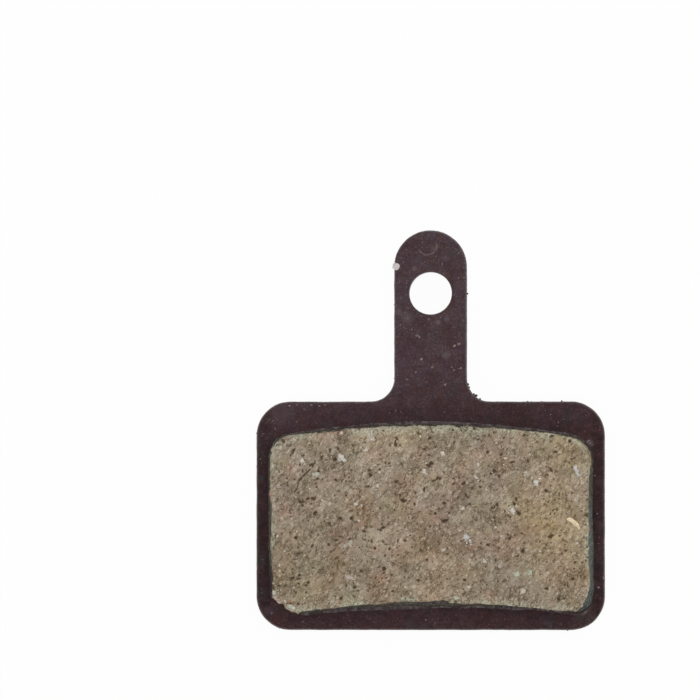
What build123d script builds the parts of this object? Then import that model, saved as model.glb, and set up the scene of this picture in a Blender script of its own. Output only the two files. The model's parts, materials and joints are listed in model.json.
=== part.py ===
# Bicycle disc brake pad: a blanked steel backing plate with a friction block moulded and bonded on it.
# Millimetres. The origin is the centre of the pin hole, on the plate's back face.
# +Y runs along the tab, away from the block, and +Z points from the plate to the friction face.

from build123d import *
from math import radians, sqrt, tan
import os

# Backing plate
plate_width = 36.0
body_height = 23.6
plate_thickness = 1.8
corner_radius = 3.5
tab_width = 7.5
root_radius = 2.4
hole_diameter = 4.4
hole_to_tab_end = 6.5
hole_to_body = 11.2
front_edge_radius = 0.25  # die roll on the side that carries the block
back_edge_radius = 0.15

# Friction block, with its face set in from the edges of the plate's body
side_margin = 1.55
top_margin = 2.6  # at mid width, where the arched face is highest
bottom_margin = 2.9  # at mid width
arch_radius = 94.0  # the face's top and bottom edges both follow the rotor's sweep
top_corner_radius = 2.0
bottom_corner_radius = 1.5
block_thickness = 2.2
wall_draft = 9.0  # degrees, for release from the mould
face_edge_radius = 0.12
flash_width = 0.2  # thin skirt that squeezes out where the mould meets the plate
flash_thickness = 0.08

body_top = -hole_to_body
body_bottom = body_top - body_height
draft_inset = block_thickness * tan(radians(wall_draft))


def plate_outline():
    """The blanked outline: a rounded body, and a round-ended tab that flares into it at its roots."""
    body_centre = (body_top + body_bottom) / 2
    body = Pos(0, body_centre) * RectangleRounded(plate_width, body_height, corner_radius)
    tab_end_radius = tab_width / 2
    tab_end_centre = hole_to_tab_end - tab_end_radius
    tab_length = tab_end_centre - body_centre
    tab = Pos(0, body_centre + tab_length / 2) * Rectangle(tab_width, tab_length)
    outline = body + tab + Pos(0, tab_end_centre) * Circle(tab_end_radius)
    for side in (-1, 1):
        root = outline.vertices().sort_by_distance((side * tab_width / 2, body_top, 0))[0]
        outline = fillet(root, root_radius)
    return outline


def backing_plate():
    """The plate, with its outer edges rounded by the blanking and the coating, and the punched pin hole."""
    plate = extrude(plate_outline(), plate_thickness)
    plate = fillet(plate.faces().sort_by(Axis.Z)[-1].edges(), front_edge_radius)
    plate = fillet(plate.faces().sort_by(Axis.Z)[0].edges(), back_edge_radius)
    return plate - extrude(Circle(hole_diameter / 2), plate_thickness)


def block_outline(growth):
    """The friction face's outline, grown outwards: arched top and bottom, straight sides, round corners."""
    half_width = plate_width / 2 - side_margin + growth
    top_middle = body_top - top_margin + growth
    bottom_middle = body_bottom + bottom_margin - growth
    top_radius = arch_radius + growth
    bottom_radius = arch_radius - growth
    top_corner = top_middle - top_radius + sqrt(top_radius**2 - half_width**2)
    bottom_corner = bottom_middle - bottom_radius + sqrt(bottom_radius**2 - half_width**2)
    edges = [
        ThreePointArc((half_width, top_corner), (0, top_middle), (-half_width, top_corner)),
        Line((-half_width, top_corner), (-half_width, bottom_corner)),
        ThreePointArc((-half_width, bottom_corner), (0, bottom_middle), (half_width, bottom_corner)),
        Line((half_width, bottom_corner), (half_width, top_corner)),
    ]
    outline = make_face(edges)
    for corner_height, radius in ((top_corner, top_corner_radius), (bottom_corner, bottom_corner_radius)):
        for side in (-1, 1):
            corner = outline.vertices().sort_by_distance((side * half_width, corner_height, 0))[0]
            outline = fillet(corner, radius + growth)
    return outline


def friction_block():
    """The moulded block: drafted walls, a slightly broken edge round the face, and the flash at its foot."""
    foot = Pos(0, 0, plate_thickness)
    block = extrude(foot * block_outline(draft_inset), block_thickness, taper=wall_draft)
    block = fillet(block.faces().sort_by(Axis.Z)[-1].edges(), face_edge_radius)
    flash = extrude(foot * block_outline(draft_inset + flash_width), flash_thickness)
    return block + flash


os.makedirs("parts", exist_ok=True)
export_step(backing_plate(), "parts/backing_plate.step")
export_step(friction_block(), "parts/friction_block.step")
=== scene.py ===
import bmesh
import bpy
import json
import math
import numpy as np
import random
from mathutils import Matrix, Vector, noise
from mathutils.bvhtree import BVHTree
from mathutils.kdtree import KDTree


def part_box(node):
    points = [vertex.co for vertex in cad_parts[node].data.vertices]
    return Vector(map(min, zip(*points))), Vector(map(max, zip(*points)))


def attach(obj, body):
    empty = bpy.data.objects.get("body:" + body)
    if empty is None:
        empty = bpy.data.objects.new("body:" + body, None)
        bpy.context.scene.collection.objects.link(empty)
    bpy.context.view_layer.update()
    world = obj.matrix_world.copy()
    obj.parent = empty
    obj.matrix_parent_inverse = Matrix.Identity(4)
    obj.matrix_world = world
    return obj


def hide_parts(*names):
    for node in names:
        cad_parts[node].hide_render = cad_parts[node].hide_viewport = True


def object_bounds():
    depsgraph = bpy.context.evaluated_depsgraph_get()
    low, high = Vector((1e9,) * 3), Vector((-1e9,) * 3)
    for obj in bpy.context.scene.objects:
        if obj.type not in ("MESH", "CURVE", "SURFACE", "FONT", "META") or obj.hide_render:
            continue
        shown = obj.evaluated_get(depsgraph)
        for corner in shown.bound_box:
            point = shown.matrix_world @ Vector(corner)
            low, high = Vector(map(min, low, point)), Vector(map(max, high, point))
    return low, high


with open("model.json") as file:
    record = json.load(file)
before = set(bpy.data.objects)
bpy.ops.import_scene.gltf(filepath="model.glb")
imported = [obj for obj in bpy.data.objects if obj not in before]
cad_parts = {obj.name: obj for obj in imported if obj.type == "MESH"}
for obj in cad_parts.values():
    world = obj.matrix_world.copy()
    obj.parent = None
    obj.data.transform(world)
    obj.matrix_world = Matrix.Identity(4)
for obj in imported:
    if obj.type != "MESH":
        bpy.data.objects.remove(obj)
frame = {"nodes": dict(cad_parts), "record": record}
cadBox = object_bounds()
print("frame loaded:", ", ".join(sorted(frame["nodes"])))

mm = 0.001  # pieces are shaped in millimetres and brought to metres when they are done
tiny = 0.001  # how close, in millimetres, counts as lying on a line or a plane
farOff = 9  # millimetres, further than any search for near points reaches


# Tools for shaping a piece by hand

def startEditing():
    bpy.ops.object.mode_set(mode="EDIT")


def stopEditing():
    bpy.ops.object.mode_set(mode="OBJECT")


def pickAll():
    bpy.ops.mesh.select_all(action="SELECT")


def applyPlace():
    bpy.ops.object.transform_apply(location=True, rotation=True, scale=True)


def dropSelection():
    if bpy.context.mode != "OBJECT":
        stopEditing()
    bpy.ops.object.select_all(action="DESELECT")


def take(piece):
    dropSelection()
    piece.select_set(True)
    bpy.context.view_layer.objects.active = piece


def startPiece(name, addPrimitive, stretch=(1, 1, 1), **values):
    dropSelection()
    addPrimitive(**values)
    piece = bpy.context.object
    piece.name = name
    piece.scale = stretch
    applyPlace()
    return piece


def pick(kind, test):  # selects each vertex, edge or face whose corners pass the test
    bpy.ops.mesh.select_mode(type=kind)
    bpy.ops.mesh.select_all(action="DESELECT")
    data = bpy.context.edit_object.data
    mesh = bmesh.from_edit_mesh(data)
    for item in {"VERT": mesh.verts, "EDGE": mesh.edges, "FACE": mesh.faces}[kind]:
        corners = [item.co] if kind == "VERT" else [corner.co for corner in item.verts]
        item.select_set(bool(test(*corners)))
    mesh.select_flush_mode()
    bmesh.update_edit_mesh(data)


def pull(x=0, y=0, z=0):
    bpy.ops.mesh.extrude_region_move(TRANSFORM_OT_translate={"value": (x, y, z)})


def roundOff(radius, steps, kind):
    bpy.ops.mesh.bevel(offset=radius, segments=steps, affect=kind, profile=0.5, clamp_overlap=False)


def faceOutwards():
    pickAll()
    bpy.ops.mesh.normals_make_consistent(inside=False)


def applyModifier(piece, kind, **settings):
    take(piece)
    modifier = piece.modifiers.new(kind.lower(), kind)
    for name, value in settings.items():
        setattr(modifier, name, value)
    bpy.ops.object.modifier_apply(modifier=modifier.name)


def paint(piece, name, values):  # keeps a number or a colour on each vertex, for the materials
    values = np.asarray(values, np.float32)
    kind, field = ("FLOAT", "value") if values.ndim == 1 else ("FLOAT_COLOR", "color")
    layer = piece.data.attributes.new(name, kind, "POINT")
    layer.data.foreach_set(field, values.ravel())


def readPoints(piece):
    points = np.empty(len(piece.data.vertices) * 3, np.float32)
    piece.data.vertices.foreach_get("co", points)
    return points.reshape(-1, 3).astype(float)


def writePoints(piece, points):
    piece.data.vertices.foreach_set("co", points.astype(np.float32).ravel())
    piece.data.update()


def ripples(points, size, shift):  # soft noise from -1 to 1 at each point, with waves of the given size
    return np.array([noise.noise(Vector(point) / size + Vector((shift, shift, shift))) for point in points])


def waves(points, layers):  # layers of soft noise added up, each with its size, shift and strength
    return sum(strength * ripples(points, size, shift) for size, shift, strength in layers)


def fading(distance, reach):  # from 1 at no distance down to 0 at the reach
    return np.clip(1 - distance / reach, 0, 1)


def awayFrom(x, y, spotX, spotY, radius):  # distance from a spot, counted in its own radius
    return np.hypot(x - spotX, y - spotY) / radius


def nearness(x, y, spotX, spotY, spread):  # 1 at a spot, and less and less around it
    away = awayFrom(x, y, spotX, spotY, spread)
    return np.exp(-away * away)


def treeFromAbove(points, chosen):  # finds the chosen points by their place as seen from above
    tree = KDTree(len(points))
    for index, (x, y, _) in enumerate(points):
        tree.insert((x, y, 0 if chosen[index] else farOff), index)
    tree.balance()
    return tree


def drawnSize(draw, limits, power):  # mostly small, now and then large
    return limits["small"] + (limits["large"] - limits["small"]) * draw.random() ** power


def strayed(draw, x, y, length, width, turn, share):  # a spot that lies about the middle of a long patch
    step = Vector((draw.gauss(0, share) * length, draw.gauss(0, share) * width))
    step.rotate(Matrix.Rotation(math.radians(turn), 2))
    return x + step.x, y + step.y


def joined(name, made):
    dropSelection()
    for part in made:
        part.select_set(True)
    bpy.context.view_layer.objects.active = made[0]
    bpy.ops.object.join()
    piece = bpy.context.object
    piece.name = name
    applyPlace()
    return piece


def scattered(name, shapes, spots):  # copies of a few shapes, with the place, stretch, turn and hue of each
    made = []
    for number, (place, stretch, turn, hue) in enumerate(spots):
        copy = bpy.data.objects.new("copy", shapes[number % len(shapes)].data.copy())
        bpy.context.scene.collection.objects.link(copy)
        copy.location = place
        copy.scale = stretch
        copy.rotation_euler = turn
        paint(copy, "hue", np.tile([*hue[:3], 1], (len(copy.data.vertices), 1)))
        made.append(copy)
    dropSelection()
    for shape in shapes:
        shape.select_set(True)
    bpy.ops.object.delete()
    return joined(name, made)


def settle(piece, material, smoothAngle):  # to metres, dressed, and on the pad's body
    take(piece)
    piece.scale = (mm, mm, mm)
    applyPlace()
    bpy.ops.object.shade_smooth_by_angle(angle=math.radians(smoothAngle))
    piece.data.materials.clear()
    piece.data.materials.append(material)
    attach(piece, "root")


def cadCorners(node):
    low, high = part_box(node)
    return low / mm, high / mm


# Tools for the materials

def srgb(red, green, blue):  # a colour as a picture editor gives it, from 0 to 255
    parts = [part / 255 for part in (red, green, blue)]
    return (*[p / 12.92 if p <= 0.04045 else ((p + 0.055) / 1.055) ** 2.4 for p in parts], 1)


class Socket:  # a node's output that can stand in Python sums
    def __init__(self, finish, link):
        self.finish = finish
        self.link = link

    def maths(self, operation, first, second):
        return self.finish.add("ShaderNodeMath", {"operation": operation}, {0: first, 1: second})["Value"]

    def __add__(self, other):
        return self.maths("ADD", self, other)

    def __sub__(self, other):
        return self.maths("SUBTRACT", self, other)

    def __rsub__(self, other):
        return self.maths("SUBTRACT", other, self)

    def __mul__(self, other):
        return self.maths("MULTIPLY", self, other)

    def __abs__(self):
        return self.maths("ABSOLUTE", self, 0)

    __radd__ = __add__
    __rmul__ = __mul__


class Finish:  # the nodes of one material or of the world
    def __init__(self, owner):
        self.owner = owner
        owner.use_nodes = True
        self.tree = owner.node_tree
        self.tree.nodes.clear()

    def add(self, kind, settings=None, sockets=None):
        node = self.tree.nodes.new(kind)
        for name, value in (settings or {}).items():
            setattr(node, name, value)
        for name, value in (sockets or {}).items():
            socket = node.inputs[name] if isinstance(name, int) else self.named(node.inputs, name)
            if isinstance(value, Socket):
                self.tree.links.new(value.link, socket)
            else:
                socket.default_value = value
        outputs = {}
        for out in reversed(node.outputs):
            outputs[out.identifier] = outputs[out.name] = Socket(self, out)
        return outputs

    def named(self, sockets, name):
        return next((socket for socket in sockets if socket.identifier == name), None) or sockets[name]

    def vectors(self, operation, values):
        return self.add("ShaderNodeVectorMath", {"operation": operation}, values)

    def scaled(self, colour, factor):
        return self.vectors("SCALE", {0: colour, "Scale": factor})["Vector"]

    def place(self):  # the point on the piece, in millimetres
        return self.scaled(self.add("ShaderNodeTexCoord")["Object"], 1 / mm)

    def stretched(self, point, factors):
        return self.vectors("MULTIPLY", {0: point, 1: factors})["Vector"]

    def turned(self, point, degrees):  # turns a pattern about the upright axis
        values = {"Vector": point, "Angle": math.radians(degrees)}
        return self.add("ShaderNodeVectorRotate", {"rotation_type": "Z_AXIS"}, values)["Vector"]

    def bent(self, point, size, reach):  # pushes a pattern about, so that its cells aren't straight
        values = {"Vector": point, "Scale": 1 / size, "Detail": 1}
        push = self.add("ShaderNodeTexNoise", None, values)["Color"]
        return self.vectors("MULTIPLY_ADD", {0: push, 1: (reach, reach, reach), 2: point})["Vector"]

    def apartFrom(self, point, centre):  # distance from a centre, seen from above
        return self.vectors("DISTANCE", {0: self.stretched(point, (1, 1, 0)), 1: centre})["Value"]

    def apart(self, vector):
        parts = self.add("ShaderNodeSeparateXYZ", None, {"Vector": vector})
        return parts["X"], parts["Y"], parts["Z"]

    def cloud(self, point, size, detail=2, rough=0.5, twist=0):  # soft noise, size in millimetres
        values = {"Vector": point, "Scale": 1 / size, "Detail": detail}
        values.update({"Roughness": rough, "Distortion": twist})
        return self.add("ShaderNodeTexNoise", None, values)["Fac"]

    def cells(self, point, size, flat=False):  # scattered cells, size in millimetres
        settings = {"voronoi_dimensions": "2D" if flat else "3D"}
        return self.add("ShaderNodeTexVoronoi", settings, {"Vector": point, "Scale": 1 / size})

    def fade(self, value, start, end, low=0, high=1):
        values = {"Value": value, "From Min": start, "From Max": end, "To Min": low, "To Max": high}
        return self.add("ShaderNodeMapRange", {"interpolation_type": "SMOOTHSTEP"}, values)["Result"]

    def mix(self, first, second, share, blend="MIX"):
        values = {"Factor_Float": share, "A_Color": first, "B_Color": second}
        return self.add("ShaderNodeMix", {"data_type": "RGBA", "blend_type": blend}, values)["Result_Color"]

    def bump(self, height, depth, strength=1, under=None):  # depth in millimetres
        values = {"Height": height, "Distance": depth * mm, "Strength": strength}
        if under is not None:
            values["Normal"] = under
        return self.add("ShaderNodeBump", None, values)["Normal"]

    def painted(self, name):
        return self.add("ShaderNodeAttribute", {"attribute_name": name})

    def surface(self, **values):
        values = {name.replace("_", " "): value for name, value in values.items()}
        shader = self.add("ShaderNodeBsdfPrincipled", None, values)["BSDF"]
        self.add("ShaderNodeOutputMaterial", None, {"Surface": shader})
        return self.owner


# Finish of the plate: a thin satin coat, dark maroon, hazed and dusty on the tab, with a faint scuff. The
# haze is partly dust and partly painted sheen; the strips beside the block carry painted shade, and the
# rounded edges a painted highlight

coat = {
    "base": srgb(46, 22, 23),
    "patch": srgb(67, 43, 46),
    "plum": srgb(64, 44, 61),
    "rust": srgb(70, 40, 36),
    # a pale grey veil, strongest on the tab: partly dust, partly painted sheen that lightens the tab
    "dustAndSheen": srgb(122, 114, 122),
    "speck": srgb(156, 144, 144),
    # painted highlight for the plate's rounded edges, which also stands for coat worn thin there
    "edge": srgb(112, 108, 104),
    # painted shade: the dark colour that the strips beside the block's walls are darkened toward
    "deep": srgb(43, 17, 17),
    "ember": srgb(62, 27, 27),
    "ash": srgb(52, 45, 49),
    "stains": (  # x, y, radius, colour, weight
        (16.4, -15.5, 0.6, srgb(118, 110, 108), 0.4),
        (15.4, -33.3, 0.9, srgb(56, 52, 45), 0.7),
        (16.6, -33.6, 0.7, srgb(56, 52, 45), 0.5),
        (-15.5, -12.4, 1.6, srgb(78, 66, 72), 0.35),
        (-16.7, -32.9, 0.8, srgb(78, 66, 70), 0.5),
        (-2.45, -2.55, 0.8, srgb(100, 88, 95), 0.4),
        (-3.3, -1.95, 0.5, srgb(106, 93, 99), 0.4),
        (0.78, -3.0, 0.4, srgb(118, 106, 112), 0.45),
        (1.7, -2.65, 0.45, srgb(104, 94, 99), 0.35),
        (2.3, 4.2, 0.9, srgb(62, 57, 56), 0.5),
        (1.55, 3.6, 0.45, srgb(94, 84, 91), 0.4),
        (-1.65, 2.55, 0.4, srgb(108, 94, 98), 0.45),
        (1.6, -6.4, 0.6, srgb(102, 90, 96), 0.45),
        (-3.0, -0.2, 1.5, srgb(65, 51, 64), 0.35),
        (-17.4, -27.6, 0.8, srgb(44, 47, 44), 0.6),
        (-17.4, -30.9, 0.8, srgb(45, 45, 43), 0.5),
        (-17.5, -19.2, 0.5, srgb(62, 60, 66), 0.5),
        (17.3, -27.3, 0.5, srgb(72, 36, 42), 0.55),
        (8.5, -13.4, 3.5, srgb(46, 24, 25), 0.35),
        (13.5, -13.6, 2.5, srgb(46, 24, 25), 0.3),
        (17.2, -30.0, 0.5, srgb(70, 38, 44), 0.5),
        (17.5, -19.6, 0.6, srgb(68, 48, 56), 0.5),
        (17.6, -24.0, 0.5, srgb(72, 56, 62), 0.45),
    ),
    "smut": 2.0,  # how strongly the body's tone is mottled
    "besideSmut": 0.7,  # how much more beside the block
    "tabFrom": (-15, -6),  # y over which the body's look turns into the tab's
    "besideFrom": (16.2, 16.9),  # distance from the middle where the strips of painted shade beside the block begin
    "besideTo": (18.4, 17.2),
    "roughness": 0.42,
    "shine": 0.25,
    "scuffCentre": (-0.34, 4.98, 0),
    "scuffRadius": 1.0,
    "scuffEnd": (5.2, 4.6),  # y over which the round scuff runs out
}


def coatFinish():
    finish = Finish(bpy.data.materials.new("maroonCoat"))
    point = finish.place()
    x, y, _ = finish.apart(point)
    upright = finish.apart(finish.add("ShaderNodeNewGeometry")["Normal"])[2]
    onTab = finish.fade(y - 0.15 * x, *coat["tabFrom"])
    mottle = finish.cloud(point, 0.22, 4, 0.7)
    smear = finish.cloud(point, 1.6, 4, 0.65, 0.6)
    tinge = finish.cloud(finish.stretched(point, (1, 1, -1)), 2.6, 3, 0.6)
    motes = finish.cloud(finish.stretched(point, (-1, 1, 1)), 0.36, 3, 0.6)
    grit = finish.cloud(finish.stretched(point, (1, -1, 1)), 0.15, 2, 0.5)
    colour = finish.mix(coat["base"], coat["patch"], finish.fade(mottle, 0.36, 0.64))
    tints = finish.cloud(finish.stretched(point, (1, -1, -1)), 0.8, 3, 0.6)
    plum = finish.fade(tinge, 0.42, 0.7) + finish.fade(tints, 0.52, 0.66)
    colour = finish.mix(colour, coat["plum"], plum * (0.08 + 0.27 * onTab))
    colour = finish.mix(colour, coat["rust"], finish.fade(tints, 0.48, 0.34) * (0.25 + 0.2 * onTab))
    shift = finish.cloud(finish.stretched(point, (-1, 1, -1)), 2.2, 3, 0.55, 0.5)
    colour = finish.mix(colour, coat["ember"], finish.fade(shift, 0.52, 0.68) * (0.6 - 0.45 * onTab))
    colour = finish.mix(colour, coat["ash"], finish.fade(shift, 0.46, 0.3) * (0.6 - 0.3 * onTab))
    aside = abs(x)
    # painted shade: in the strips beside the block's left and right walls the coat is darkened where the
    # walls would shade it
    beside = finish.fade(aside, *coat["besideFrom"]) * finish.fade(aside, *coat["besideTo"])
    colour = finish.mix(colour, coat["deep"], beside * finish.fade(mottle, 0.9, 0.3) * 0.95)
    # a pale veil over the coat, mostly on the tab: partly dust, partly painted sheen
    dustAndSheen = (0.02 + 0.07 * onTab) * (0.45 + 1.1 * finish.fade(smear, 0.35, 0.7))
    colour = finish.mix(colour, coat["dustAndSheen"], dustAndSheen)
    smut = finish.cloud(finish.stretched(point, (-1, -1, 1)), 0.9, 4, 0.7)
    mottling = coat["smut"] * (smut - 0.5) * (1 - onTab) * (1 + coat["besideSmut"] * beside)
    colour = finish.scaled(colour, 1 + mottling)
    for stainX, stainY, radius, stain, weight in coat["stains"]:
        away = finish.apartFrom(point, (stainX, stainY, 0)) + radius * (smear + mottle - 1)
        colour = finish.mix(colour, stain, finish.fade(away, radius, 0.2 * radius) * weight)
    dusty = finish.fade(motes, 0.57, 0.75) * 0.25 + finish.fade(grit, 0.58, 0.74) * 0.34
    dusty = dusty * (0.38 + 0.62 * onTab) * (0.35 + 0.65 * finish.fade(smear, 0.35, 0.6))
    facing = finish.fade(upright, 0.5, 0.9)
    colour = finish.mix(colour, coat["speck"], dusty * facing)
    offScuff = abs(finish.apartFrom(point, coat["scuffCentre"]) - coat["scuffRadius"])
    scuffEnd = finish.fade(y - 0.4 * x, *coat["scuffEnd"])
    scuff = finish.fade(offScuff + 0.5 * (motes - 0.5), 0.14, 0.0) * scuffEnd
    colour = finish.mix(colour, coat["speck"], scuff * facing * 0.22)
    # painted highlight: the plate's rounded edges are lightened toward grey as if they caught the light;
    # partly it is also coat worn thin there
    edgeWearAndHighlight = finish.fade(upright, 0.98, 0.75) * finish.fade(upright, 0.05, 0.4)
    colour = finish.mix(colour, coat["edge"], edgeWearAndHighlight * finish.fade(mottle, 0.3, 0.65) * 0.75)
    sheared = finish.fade(upright, 0.3, 0.05) * finish.fade(upright, -0.3, -0.05)
    streaks = finish.cloud(finish.stretched(point, (1, 1, 0.15)), 0.15, 3, 0.6)
    height = mottle * 0.6 + dusty * 0.5 + sheared * streaks * 1.6
    return finish.surface(
        Base_Color=colour,
        Roughness=coat["roughness"] + 0.2 * (smear - 0.5) + 0.25 * dusty,
        Normal=finish.bump(height, 0.03, 0.7),
        Specular_IOR_Level=coat["shine"],
    )


# Backing plate

plate = {
    "bodyHeight": 23.6,
    "tabWidth": 7.5,
    "cornerRadius": 3.5,
    "rootRadius": 2.4,
    "frontRound": 0.25,
    "backRound": 0.15,
    "holeRound": 0.1,
    "arcSteps": 24,
    "roundSteps": 5,
    "holeSteps": 96,
    "runCuts": 40,
    "wobbleX": ((1.8, 3.1, 0.025), (0.5, 6.2, 0.0175)),  # size, shift and strength of each layer of noise
    "wobbleY": ((1.8, 9.3, 0.025), (0.5, 1.4, 0.0175)),
    "smoothAngle": 40,
}
pinHole = next(mount for mount in frame["record"]["mounts"] if mount["name"] == "pin_hole")


def makeBackingPlate(material):
    low, high = cadCorners("backing_plate")
    bodyTop = low.y + plate["bodyHeight"]
    halfTab = plate["tabWidth"] / 2
    piece = startPiece(
        "backingPlate",
        bpy.ops.mesh.primitive_plane_add,
        stretch=(plate["tabWidth"], plate["bodyHeight"], 1),
        size=1,
        location=(0, (low.y + bodyTop) / 2, low.z),
    )
    startEditing()
    pick("EDGE", lambda a, b: max(a.x, b.x) < 0)
    pull(x=low.x + halfTab)
    pick("EDGE", lambda a, b: min(a.x, b.x) > 0)
    pull(x=high.x - halfTab)
    pick("EDGE", lambda a, b: min(a.y, b.y) > bodyTop - tiny and max(abs(a.x), abs(b.x)) < halfTab + tiny)
    pull(y=high.y - bodyTop)
    pickAll()
    bpy.ops.mesh.dissolve_limited(angle_limit=math.radians(1))
    turns = (
        (plate["cornerRadius"], lambda p: abs(p.x) > high.x - tiny),
        (halfTab, lambda p: p.y > high.y - tiny),
        (plate["rootRadius"], lambda p: abs(abs(p.x) - halfTab) < tiny and abs(p.y - bodyTop) < tiny),
    )
    for radius, test in turns:
        pick("VERT", test)
        roundOff(radius, plate["arcSteps"], "VERTICES")
    pickAll()
    bpy.ops.mesh.remove_doubles(threshold=tiny)
    pick("EDGE", lambda a, b: (a - b).length > 1)
    bpy.ops.mesh.subdivide(number_cuts=plate["runCuts"])
    pickAll()
    pull(z=high.z - low.z)
    faceOutwards()
    pick("EDGE", lambda a, b: min(a.z, b.z) > high.z - tiny)
    roundOff(plate["frontRound"], plate["roundSteps"], "EDGES")
    pick("EDGE", lambda a, b: max(a.z, b.z) < low.z + tiny)
    roundOff(plate["backRound"], plate["roundSteps"], "EDGES")
    stopEditing()
    points = readPoints(piece)
    level = points * (1, 1, 0)
    points[:, 0] += waves(level, plate["wobbleX"])
    points[:, 1] += waves(level, plate["wobbleY"])
    writePoints(piece, points)
    punchHole(piece, low.z, high.z)
    settle(piece, material, plate["smoothAngle"])
    applyModifier(piece, "WEIGHTED_NORMAL", keep_sharp=True)
    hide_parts("backing_plate")
    return piece


def punchHole(piece, back, front):
    centre = Vector(pinHole["pos_m"]) / mm
    radius = pinHole["dims"]["r_mm"]
    punch = startPiece(
        "punch",
        bpy.ops.mesh.primitive_cylinder_add,
        vertices=plate["holeSteps"],
        radius=radius,
        depth=4 * (front - back),
        location=centre,
    )
    applyModifier(piece, "BOOLEAN", operation="DIFFERENCE", object=punch, solver="EXACT")
    take(punch)
    bpy.ops.object.delete()
    take(piece)
    startEditing()
    reach = radius + plate["holeRound"]
    pick("EDGE", lambda a, b: abs(a.z - b.z) < tiny and all((p - centre).xy.length < reach for p in (a, b)))
    roundOff(plate["holeRound"], plate["roundSteps"], "EDGES")
    stopEditing()


# Finish of the friction block: tan compound, crumbly, with flat flakes, under a teal-grey moulded skin

compound = {
    "umber": srgb(92, 77, 59),
    "sand": srgb(152, 136, 117),
    "cream": srgb(192, 178, 160),
    "speck": srgb(196, 186, 168),
    # darker brown for the hollows and the worn rim: painted shade in these recesses
    "hollow": srgb(98, 81, 60),
    # dark brown of the pits: partly the compound's own dark, partly painted shade in the recess
    "pit": srgb(76, 59, 41),
    "crust": srgb(176, 179, 158),
    "scale": srgb(150, 147, 134),
    "skin": srgb(77, 84, 80),
    "mossy": srgb(67, 65, 53),
    # painted shade: the dark colour given to walls that face along y, the block's top and bottom walls
    "wallShade": srgb(62, 55, 50),
    "tealFrom": (-20.5, -23.0),  # y where the skin on the right turns from mossy to teal
    "pink": (1.045, 0.972, 0.965, 1),
    "green": (0.965, 1.015, 0.97, 1),
    "yellow": (1.02, 1.0, 0.92, 1),
    "slate": (0.97, 0.985, 1.04, 1),
    "greyFlake": (0.88, 0.9, 0.94, 1),
    "buffFlake": (1.03, 1.0, 0.95, 1),
    "grindAngle": 50,  # degrees, the way that the face was ground
    "grindStretch": (0.76, 1.12, 1),
    "roughness": 0.85,
    "shine": 0.15,
}


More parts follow.
